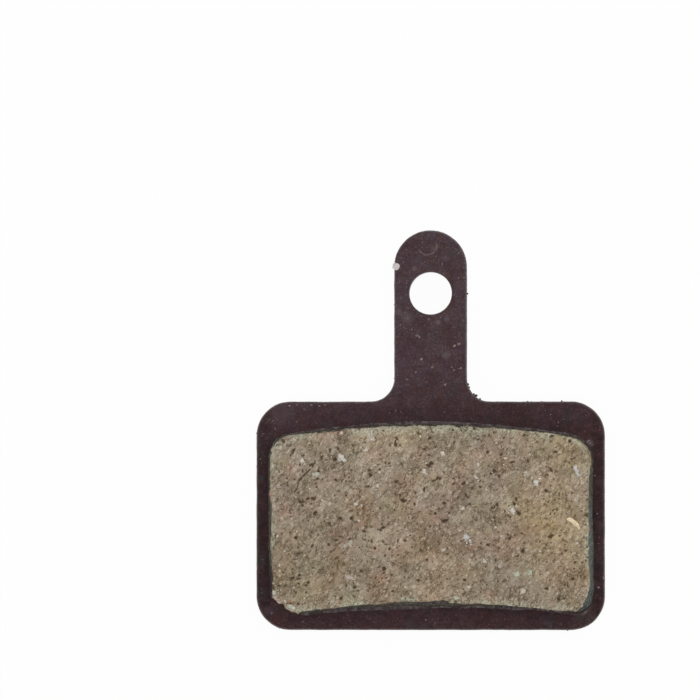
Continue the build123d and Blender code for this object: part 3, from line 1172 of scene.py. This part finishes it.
def seated(heights, x, y, reach):  # moves a grain in from the edge until the face carries all of it
    for _ in range(grains["moves"]):
        around = [(x + reach * math.cos(turn), y + reach * math.sin(turn), 0) for turn in range(6)]
        if all(heights.find(spot)[2] < 1.5 * block["grid"] for spot in around):
            break
        inward = Vector((-x, faceMiddle - y)).normalized() * block["grid"]
        x, y = x + inward.x, y + inward.y
    return x, y


def makeGrains(material, blockPiece):
    points = readPoints(blockPiece)
    heights = treeFromAbove(points, points[:, 2] > blockFace - grains["faceDepth"])
    surface = BVHTree.FromObject(blockPiece, bpy.context.evaluated_depsgraph_get())
    draw = random.Random(grains["seed"])
    beds = []
    for x, y, length, width, turn, colour in grains["placed"]:
        beds.append((x, y, grains["fullness"] * length, grains["fullness"] * width, turn, colour))
        for _ in range(grains["bits"]):
            bitX, bitY = strayed(draw, x, y, length, width, turn, grains["bitSpread"])
            size = width * draw.uniform(*grains["bitSize"])
            beds.append((bitX, bitY, size, size * grains["bitWidth"], draw.uniform(0, 180), colour))
    for colour, count in grains["scattered"].items():
        for _ in range(count):
            x = draw.uniform(-1, 1) * (halfFace - grains["edgeMargin"])
            y = draw.uniform(-1, 1) * (halfHeight - grains["edgeMargin"]) + faceMiddle - archDrop(x)
            length = drawnSize(draw, grains, 3)
            beds.append((x, y, length, length * draw.uniform(0.5, 1), draw.uniform(0, 180), colour))
    spots = []
    for x, y, length, width, turn, colour in beds:
        x, y = seated(heights, x, y, 0.6 * max(length, width))
        ground = surface.ray_cast((x, y, blockFace + 1), (0, 0, -1))[0].z
        thick = grains["thick"] * width
        top = max(ground, min(ground + thick / 2, blockFace - grains["topDrop"])) + grains["proud"]
        place = (x, y, top - grains["groundOff"] * thick)
        stretch = (grains["radius"] * length, grains["radius"] * width, thick)
        tiltX = draw.uniform(-grains["tilt"], grains["tilt"])
        tiltY = draw.uniform(-grains["tilt"], grains["tilt"])
        shade = draw.uniform(*grains["shade"])
        hue = [part * shade for part in grains["colours"][colour][:3]]
        spots.append((place, stretch, (tiltX, tiltY, math.radians(turn)), hue))
    piece = scattered("mineralGrains", grainShapes(), spots)
    settle(piece, material, grains["smoothAngle"])


# Brass shaving caught in the face

shaving = {
    "hub": (13.95, -24.8, 0),
    "radius": 1.45,
    "tilt": -4,  # degrees that the whole curl is turned about its hub
    "sweep": 72,
    "steps": 14,
    "halfWidth": 0.23,
    "halfThick": 0.05,
    "sides": 10,
    "thinnest": 0.02,  # share of the width that is left at its tips
    "pale": srgb(240, 222, 190),
    "deep": srgb(212, 184, 144),
    "smoothAngle": 60,
}


def brassFinish():
    finish = Finish(bpy.data.materials.new("brassShaving"))
    point = finish.place()
    worn = finish.fade(finish.cloud(point, 0.22, 3), 0.42, 0.66)
    return finish.surface(
        Base_Color=finish.mix(shaving["pale"], shaving["deep"], worn),
        Metallic=0.25,
        Roughness=0.3 + 0.2 * finish.cloud(point, 0.15, 2),
        Normal=finish.bump(finish.cloud(point, 0.1, 2), 0.02, 0.4),
    )


def makeShaving(material):
    hub = Vector(shaving["hub"])
    piece = startPiece(
        "brassShaving",
        bpy.ops.mesh.primitive_circle_add,
        vertices=shaving["sides"],
        radius=1,
        rotation=(0, math.radians(90), 0),
    )
    startEditing()
    pickAll()
    bpy.ops.transform.resize(value=(1, shaving["halfWidth"], shaving["halfThick"]))
    bpy.ops.transform.translate(value=hub + Vector((0, shaving["radius"], blockFace)))
    sweep = math.radians(shaving["sweep"])
    bpy.ops.mesh.spin(steps=shaving["steps"], angle=sweep, center=hub, axis=(0, 0, 1))
    stopEditing()
    points = readPoints(piece)
    around = np.arctan2(points[:, 1] - hub.y, points[:, 0] - hub.x)
    along = (around.max() - around) / (around.max() - around.min())
    full = np.clip(1 - (2 * along - 1) ** 4, shaving["thinnest"], 1)
    full *= 1.15 - 0.5 * along + 0.12 * np.sin(11 * along + 1)
    middle = shaving["radius"]
    away = np.hypot(points[:, 0] - hub.x, points[:, 1] - hub.y)
    newAway = middle + (away - middle) * full + 0.03 * np.sin(9 * along)
    around += math.radians(shaving["tilt"])
    points[:, 0] = hub.x + np.cos(around) * newAway
    points[:, 1] = hub.y + np.sin(around) * newAway
    points[:, 2] = blockFace + (points[:, 2] - blockFace) * full
    writePoints(piece, points)
    take(piece)
    startEditing()
    pickAll()
    bpy.ops.mesh.fill_holes(sides=0)
    bpy.ops.mesh.normals_make_consistent(inside=False)
    stopEditing()
    settle(piece, material, shaving["smoothAngle"])


# Flash: the thin ragged skirt that squeezed out where the mould met the plate

flash = {
    "thick": 0.08,
    "under": 0.4,  # how far it runs in under the block
    "arcSteps": 10,
    "cuts": 90,
    "ragged": ((1.6, 2.1, 0.08), (0.4, 9.4, 0.064)),  # size, shift and strength of noise
    "drawnIn": 0.032,  # how much less it runs out than the mould's edge
    "thinned": 0.5,  # share of its thickness that is lost at its outer edge
    "spreads": (  # x, y, how much further out it ran there, how wide
        (-3.5, -32.4, 0.22, 5.0),
        (13.5, -33.0, -0.32, 5.0),
        (10.0, -13.6, -0.1, 6.0),
        (17.0, -23.0, -0.18, 8.0),
        (-17.0, -23.0, -0.18, 8.0),
        (-17.0, -30.5, -0.3, 2.5),
        (-1.0, -13.4, 0.05, 6.0),
    ),
    "dull": srgb(76, 65, 66),
    "pale": srgb(120, 110, 108),
    "fleck": srgb(160, 150, 140),
    # dark colour of the flash beside the block's left and right walls, where it is painted shade, and of
    # the real gaps in the flash
    "side": srgb(56, 38, 40),
    "smoothAngle": 40,
}


def flashFinish():
    finish = Finish(bpy.data.materials.new("flashSkin"))
    point = finish.place()
    aside = abs(finish.apart(point)[0])
    mottle = finish.cloud(point, 0.4, 4, 0.65)
    colour = finish.mix(flash["dull"], flash["pale"], finish.fade(mottle, 0.4, 0.7))
    flecks = finish.fade(finish.cloud(point, 0.16, 3, 0.6), 0.56, 0.72)
    colour = finish.mix(colour, flash["fleck"], flecks * 0.7)
    # painted shade: the flash is darkened toward the block's left and right walls, as the coat beside them
    # is
    colour = finish.mix(colour, flash["side"], finish.fade(aside, halfFace - 0.8, halfFace) * 0.85)
    gaps = finish.fade(finish.cloud(finish.stretched(point, (1, -1, 1)), 0.8, 3, 0.6), 0.46, 0.6)
    colour = finish.mix(colour, flash["side"], gaps * 0.8)
    return finish.surface(
        Base_Color=colour,
        Roughness=0.5 + 0.3 * mottle,
        Normal=finish.bump(finish.cloud(point, 0.12, 3, 0.6), 0.04, 0.6),
        Specular_IOR_Level=0.3,
    )


def makeFlash(material):
    grow = block["draft"] + block["flash"]
    piece = startPiece(
        "mouldFlash",
        bpy.ops.mesh.primitive_plane_add,
        stretch=(2 * (halfFace + grow), 2 * (halfHeight + grow), 1),
        size=1,
        location=(0, faceMiddle, blockFoot),
    )
    startEditing()
    pick("VERT", lambda p: p.y > faceMiddle)
    roundOff(block["topCorner"] + grow, flash["arcSteps"], "VERTICES")
    pick("VERT", lambda p: p.y < faceMiddle - halfHeight / 2)
    roundOff(block["bottomCorner"] + grow, flash["arcSteps"], "VERTICES")
    pick("EDGE", lambda a, b: (a - b).length > 1)
    bpy.ops.mesh.subdivide(number_cuts=flash["cuts"])
    pickAll()
    bpy.ops.mesh.inset(thickness=block["flash"] + flash["under"])
    bpy.ops.mesh.delete(type="FACE")
    pickAll()
    pull(z=flash["thick"])
    faceOutwards()
    stopEditing()
    points = readPoints(piece)
    x, y, z = points.T
    inside, outX, outY = outlineDepth(x, y)
    level = points * (1, 1, 0)
    outer = np.clip((-inside - grow + block["flash"]) / block["flash"], 0, 1)
    spread = waves(level, flash["ragged"]) - flash["drawnIn"]
    for wideX, wideY, amount, width in flash["spreads"]:
        spread += amount * nearness(x, y - archDrop(x), wideX, wideY, width)
    x += outX * spread * outer
    y += outY * spread * outer
    z -= flash["thinned"] * (z - blockFoot) * outer * (z > blockFoot + tiny)
    y -= archDrop(x)
    writePoints(piece, chipAway(np.stack((x, y, z), 1)))
    settle(piece, material, flash["smoothAngle"])


# Dust on the coat, nibs of coat on the plate's edges, and the bead that clings to the side of the tab

dust = {
    "placed": (  # x, y, length, width, turn in degrees, brightness
        (-0.95, -6.82, 0.3, 0.26, 20, 1.0),
        (2.5, -5.45, 0.3, 0.22, 40, 1.0),
        (2.9, -5.25, 0.4, 0.25, 10, 0.6),
        (1.52, -9.46, 0.3, 0.2, 50, 0.95),
        (-1.37, -4.4, 0.35, 0.25, 0, 0.5),
        (-1.15, -4.55, 0.3, 0.2, 60, 0.6),
        (2.43, -7.96, 0.22, 0.2, 0, 0.6),
        (3.15, -7.77, 0.28, 0.22, 30, 0.65),
        (0.15, -7.65, 0.25, 0.2, 0, 0.6),
        (-2.45, -8.91, 0.3, 0.2, 0, 0.45),
        (-1.5, -8.15, 0.25, 0.2, 70, 0.45),
        (-14.6, -11.62, 0.26, 0.16, 0, 0.8),
        (-13.8, -11.55, 0.2, 0.14, 20, 0.7),
        (-13.05, -12.0, 0.18, 0.12, 0, 0.6),
        (-12.35, -11.55, 0.28, 0.15, 10, 0.8),
        (-11.5, -11.65, 0.24, 0.16, -10, 0.8),
        (-10.9, -11.55, 0.2, 0.14, 0, 0.7),
        (17.2, -22.8, 0.2, 0.15, 90, 0.7),
        (17.85, -29.45, 0.3, 0.18, 90, 0.9),
        (17.35, -30.4, 0.25, 0.2, 30, 0.9),
        (16.95, -18.85, 0.22, 0.16, 0, 0.6),
        (16.2, -15.35, 0.26, 0.14, 70, 1.15),
        (16.38, -15.25, 0.16, 0.12, 20, 1.0),
        (16.48, -15.55, 0.24, 0.12, 110, 1.1),
        (16.68, -15.7, 0.16, 0.12, 40, 0.9),
        (-16.4, -33.05, 0.22, 0.14, 60, 0.6),
        (-13.2, -33.95, 0.3, 0.12, -20, 0.5),
    ),
    "onTab": 150,
    "onBody": 200,
    "onRim": 120,
    "tabFoot": -11.5,  # y that parts the tab's dust from the body's
    "edgeMargin": 0.5,
    "cornerMargin": 0.3,
    "blockMargin": 0.8,
    "holeMargin": 0.4,
    "rimInset": (0.22, 0.6),  # how far in from the plate's edge the rim's dust lies
    "radius": 0.68,  # as a share of the length and the width
    "thick": 0.18,  # as a share of the width
    "small": 0.07,
    "large": 0.21,
    "seed": 41,
    "shapes": 3,
    "dim": srgb(80, 64, 68),
    "bright": srgb(142, 126, 127),
    "smoothAngle": 60,
}
nibs = {
    "placed": (  # x, y, z, radius
        (3.86, -9.42, 1.4, 0.17),
        (3.95, -9.72, 1.3, 0.13),
        (4.69, -10.6, 1.45, 0.19),
        (4.46, -10.43, 1.2, 0.12),
        (5.12, -10.93, 1.4, 0.1),
        (3.8, -0.05, 1.3, 0.12),
        (13.55, -11.15, 1.4, 0.1),
        (14.15, -34.75, 1.3, 0.11),
    ),
    "count": 60,
    "small": 0.03,
    "large": 0.09,
    "holeMargin": 0.7,
    "backMargin": 0.3,
    "frontMargin": 0.25,
    "mostStretch": (1.2, 1.2, 1.4),
    "seed": 7,
    "shapes": 3,
    "smoothAngle": 60,
}
bead = {
    "place": (-3.53, 2.77, 1.7),
    "radius": 0.4,
    "flatten": 0.55,
    "seed": 3,
    "pale": srgb(216, 207, 207),
    "vein": srgb(128, 116, 117),
    "smoothAngle": 60,
}


def lumpShape(name, rough, seed, levels):
    shape = startPiece(name, bpy.ops.mesh.primitive_ico_sphere_add, subdivisions=levels, radius=1)
    startEditing()
    pickAll()
    bpy.ops.transform.vertex_random(offset=rough, uniform=0.3, normal=0.7, seed=seed)
    bpy.ops.mesh.vertices_smooth(factor=0.4)
    stopEditing()
    return shape


def dustFinish():
    finish = Finish(bpy.data.materials.new("paleDust"))
    point = finish.place()
    mottle = finish.cloud(point, 0.1, 3, 0.6)
    return finish.surface(
        Base_Color=finish.scaled(finish.painted("hue")["Color"], 0.6 + 0.8 * mottle),
        Roughness=0.7 + 0.2 * mottle,
        Normal=finish.bump(mottle, 0.03, 0.5),
        Specular_IOR_Level=0.2,
    )


def edgeVertices(platePiece):  # those on the plate's upright edges, in the hole too
    return [vertex for vertex in platePiece.data.vertices if abs(vertex.normal.z) < 0.4]


def isOnCoat(x, y, low, high):  # true where a speck lies clear of the block, the hole and the edges
    halfTab = plate["tabWidth"] / 2
    bodyTop = low.y + plate["bodyHeight"]
    corner = plate["cornerRadius"]
    pastX = max(abs(x) - high.x + corner, 0)
    pastY = max(low.y + corner - y, y - bodyTop + corner, 0)
    offBlock = float(outlineDepth(x, y + archDrop(x))[0]) < -dust["blockMargin"]
    offHole = math.hypot(x, y) > pinHole["dims"]["r_mm"] + dust["holeMargin"]
    onEnd = y < high.y - halfTab or math.hypot(x, y - high.y + halfTab) < halfTab - dust["edgeMargin"]
    onCorner = y > bodyTop or math.hypot(pastX, pastY) < corner - dust["cornerMargin"]
    return offBlock and offHole and onEnd and onCorner


def makeDust(material, platePiece):
    low, high = cadCorners("backing_plate")
    draw = random.Random(dust["seed"])
    halfTab = plate["tabWidth"] / 2
    margin = dust["edgeMargin"]
    specks = list(dust["placed"])
    wanted = (  # how many, left, right, bottom, top
        (dust["onTab"], -halfTab, halfTab, dust["tabFoot"], high.y),
        (dust["onBody"], low.x, high.x, low.y, dust["tabFoot"]),
    )
    for count, left, right, bottom, top in wanted:
        found = 0
        while found < count:
            x = draw.uniform(left + margin, right - margin)
            y = draw.uniform(bottom + margin, top - margin)
            length = drawnSize(draw, dust, 4)
            brightness = 0.15 + 0.55 * draw.random() ** 3
            speck = (x, y, length, length * draw.uniform(0.5, 1), draw.uniform(0, 180), brightness)
            if isOnCoat(x, y, low, high):
                specks.append(speck)
                found += 1
    rim = edgeVertices(platePiece)
    for _ in range(dust["onRim"]):
        vertex = draw.choice(rim)
        spot = vertex.co / mm - vertex.normal * draw.uniform(*dust["rimInset"])
        length = drawnSize(draw, dust, 3)
        brightness = 0.15 + 0.6 * draw.random() ** 3
        width = length * draw.uniform(0.5, 1)
        specks.append((spot.x, spot.y, length, width, draw.uniform(0, 180), brightness))
    spots = []
    for x, y, length, width, turn, brightness in specks:
        hue = [a + (b - a) * brightness for a, b in zip(dust["dim"][:3], dust["bright"][:3])]
        stretch = (dust["radius"] * length, dust["radius"] * width, dust["thick"] * width)
        spots.append(((x, y, high.z), stretch, (0, 0, math.radians(turn)), hue))
    shapes = [lumpShape("dustShape", 0.45, dust["seed"] + number, 1) for number in range(dust["shapes"])]
    piece = scattered("coatDust", shapes, spots)
    settle(piece, material, dust["smoothAngle"])


def makeNibs(material, platePiece):
    hole = Vector(pinHole["pos_m"]) / mm
    clear = pinHole["dims"]["r_mm"] + nibs["holeMargin"]
    rim = [vertex.co / mm for vertex in edgeVertices(platePiece)]
    rim = [point for point in rim if (point - hole).xy.length > clear]
    draw = random.Random(nibs["seed"])
    low, high = cadCorners("backing_plate")
    spots = list(nibs["placed"])
    for _ in range(nibs["count"]):
        point = draw.choice(rim)
        radius = drawnSize(draw, nibs, 3)
        height = draw.uniform(low.z + nibs["backMargin"], high.z - nibs["frontMargin"])
        spots.append((point.x, point.y, height, radius))
    grown = []
    for x, y, z, radius in spots:
        stretch = [radius * draw.uniform(0.8, most) for most in nibs["mostStretch"]]
        grown.append(((x, y, z), stretch, (0, 0, draw.uniform(0, 6)), coat["base"]))
    shapes = [lumpShape("nibShape", 0.3, nibs["seed"] + number, 2) for number in range(nibs["shapes"])]
    piece = scattered("coatNibs", shapes, grown)
    settle(piece, material, nibs["smoothAngle"])


def beadFinish():
    finish = Finish(bpy.data.materials.new("paleBead"))
    point = finish.place()
    veins = finish.cloud(point, 0.22, 3, 0.6, 1.0)
    return finish.surface(
        Base_Color=finish.mix(bead["pale"], bead["vein"], finish.fade(veins, 0.5, 0.64) * 0.8),
        Roughness=0.35 + 0.3 * veins,
        Normal=finish.bump(veins, 0.04, 0.5),
    )


def makeBead(material):
    piece = lumpShape("paleBead", 0.12, bead["seed"], 4)
    piece.scale = (bead["radius"], bead["radius"], bead["radius"] * bead["flatten"])
    piece.location = bead["place"]
    applyPlace()
    settle(piece, material, bead["smoothAngle"])


# Stage: a pale floor, a soft key light, a pale sky, and the camera over the pad

stage = {
    "floorSize": 3.0,
    "floorGap": 0.02,  # millimetres under the pad
    "floorColour": (0.9, 0.9, 0.9, 1),
    "floorGlow": 0.96,  # share of plain white that the camera sees
    "skyColour": (1, 1, 1, 1),
    "skyAbove": 0.25,
    "skyAround": 0.85,
    "skyFrom": (0.5, 0.95),  # height over which the sky around turns into the sky above
    "lamps": (  # name, size, power, place in metres
        ("keyLight", 0.4, 0.52, (0.14, 0.16, 0.28)),
        ("fillLight", 0.4, 0.3, (-0.22, -0.18, 0.25)),
    ),
    "viewCentre": (-8.32, -5.87, 1.8),  # the middle of the picture, in millimetres
    "viewWidth": 72.36,
    "viewDistance": 800,
    "sensorWidth": 36,
    "viewLean": (2.0, -1.2),  # degrees off plumb, towards +X and +Y
}


def makeFloor():
    dropSelection()
    height = cadBox[0].z - stage["floorGap"] * mm
    bpy.ops.mesh.primitive_plane_add(size=stage["floorSize"], location=(0, 0, height))
    floor = bpy.context.object
    floor.name = "floor"
    finish = Finish(bpy.data.materials.new("paleFloor"))
    rays = finish.add("ShaderNodeLightPath")
    seen = rays["Is Camera Ray"] + rays["Is Glossy Ray"] + rays["Is Transmission Ray"]
    matt = finish.add("ShaderNodeBsdfDiffuse", None, {"Color": stage["floorColour"]})["BSDF"]
    white = finish.add("ShaderNodeEmission", None, {"Strength": 1})["Emission"]
    shaders = {0: seen * stage["floorGlow"], 1: matt, 2: white}
    both = finish.add("ShaderNodeMixShader", None, shaders)["Shader"]
    finish.add("ShaderNodeOutputMaterial", None, {"Surface": both})
    floor.data.materials.append(finish.owner)


def makeSky():
    world = bpy.data.worlds.new("paleSky")
    bpy.context.scene.world = world
    finish = Finish(world)
    seen = finish.add("ShaderNodeLightPath")["Is Camera Ray"]
    upward = finish.apart(finish.add("ShaderNodeTexCoord")["Generated"])[2]
    strength = finish.fade(upward, *stage["skyFrom"], stage["skyAround"], stage["skyAbove"])
    shaders = {0: seen}
    for number, power in ((1, strength), (2, 1)):
        values = {"Color": stage["skyColour"], "Strength": power}
        shaders[number] = finish.add("ShaderNodeBackground", None, values)["Background"]
    both = finish.add("ShaderNodeMixShader", None, shaders)["Shader"]
    finish.add("ShaderNodeOutputWorld", None, {"Surface": both})


def makeLamps():
    dropSelection()
    for name, size, power, place in stage["lamps"]:
        bpy.ops.object.light_add(type="AREA", location=place)
        lamp = bpy.context.object
        lamp.name = name
        lamp.data.size = size
        lamp.data.energy = power
        lamp.rotation_euler = (-Vector(place)).to_track_quat("-Z", "Y").to_euler()


def makeCamera():
    centre = Vector(stage["viewCentre"]) * mm
    leanX, leanY = (math.tan(math.radians(angle)) for angle in stage["viewLean"])
    back = Vector((leanX, leanY, 1)).normalized()
    bpy.ops.object.camera_add(location=centre + back * stage["viewDistance"] * mm)
    camera = bpy.context.object
    camera.data.sensor_width = stage["sensorWidth"]
    camera.data.lens = camera.data.sensor_width * stage["viewDistance"] / stage["viewWidth"]
    right = Vector((0, 1, 0)).cross(back).normalized()
    camera.rotation_euler = Matrix((right, back.cross(right), back)).transposed().to_euler()
    bpy.context.scene.camera = camera


maroonCoat = coatFinish()
platePiece = makeBackingPlate(maroonCoat)
makeNibs(maroonCoat, platePiece)
makeDust(dustFinish(), platePiece)
makeBead(beadFinish())
print("backing plate made:", len(platePiece.data.polygons), "faces")
frictionCompound = compoundFinish()
blockPiece = makeFrictionBlock()
print("friction block shaped:", len(blockPiece.data.polygons), "faces")
makeGrains(mineralFinish(), blockPiece)
settle(blockPiece, frictionCompound, block["smoothAngle"])
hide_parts("friction_block")
makeShaving(brassFinish())
makeFlash(flashFinish())
print("friction block dressed")
makeFloor()
makeSky()
makeLamps()
makeCamera()
bpy.context.scene.view_settings.view_transform = "Standard"
print("stage set")
